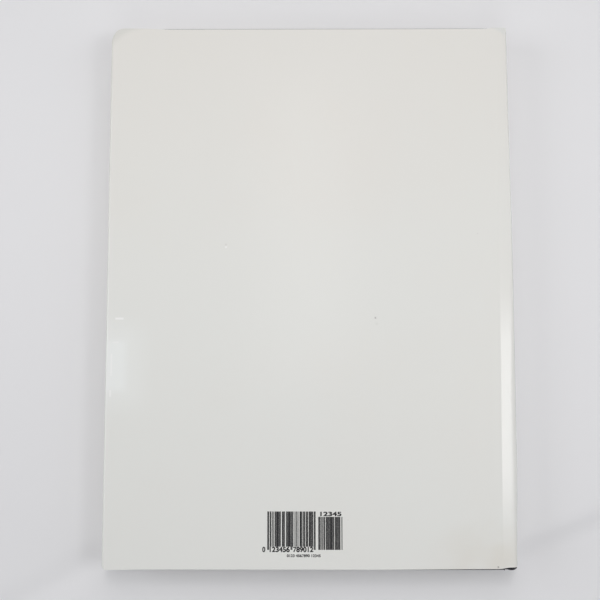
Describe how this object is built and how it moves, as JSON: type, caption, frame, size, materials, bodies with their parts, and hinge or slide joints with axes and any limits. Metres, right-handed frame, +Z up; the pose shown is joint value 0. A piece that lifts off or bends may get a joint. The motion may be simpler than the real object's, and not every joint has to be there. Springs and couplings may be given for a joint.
{
  "type": "hardcover book with dust jacket",
  "caption": "Large closed hardcover book lying on its front cover, in a white laminated dust jacket over a black cloth case, with a rounded spine and covers that open.",
  "frame": {"origin": "middle of the underside of the closed book, which is its front cover", "axes": "+Z up through the back cover, +Y along the book towards its head, +X across it towards the spine"},
  "size_m": [0.2328, 0.3096, 0.0246],
  "materials": {
    "jacket_paper": "gloss",
    "book_cloth": "matte",
    "greyboard": "matte",
    "leaf_paper": "matte",
    "endpaper": "matte",
    "band_thread": "satin",
    "lining_paper": "matte",
    "black_ink": "satin"
  },
  "bodies": {
    "book_block": {"text_block": "leaf_paper", "front_free_endpaper": "endpaper", "back_free_endpaper": "endpaper", "headband": "band_thread", "tailband": "band_thread", "spine_lining": "lining_paper", "spine_inlay": "greyboard", "spine_case_cloth": "book_cloth", "jacket_spine": "jacket_paper", "jacket_front_joint": "jacket_paper", "jacket_back_joint": "jacket_paper"},
    "front_cover": {"front_board": "greyboard", "front_case_cloth": "book_cloth", "front_pastedown": "endpaper", "jacket_front": "jacket_paper"},
    "back_cover": {"back_board": "greyboard", "back_case_cloth": "book_cloth", "back_pastedown": "endpaper", "jacket_back": "jacket_paper", "barcode_print": "black_ink"}
  },
  "joints": [
    {"name": "back_cover_hinge", "type": "hinge", "parent": "book_block", "child": "back_cover", "pos_m": [0.11152, 0, 0.02065], "axis": [0, 1, 0], "range_deg": [0, 180], "deforming": ["jacket_back_joint"]},
    {"name": "front_cover_hinge", "type": "hinge", "parent": "book_block", "child": "front_cover", "pos_m": [0.11152, 0, 0.00395], "axis": [0, -1, 0], "range_deg": [0, 180], "deforming": ["jacket_front_joint"]}
  ]
}
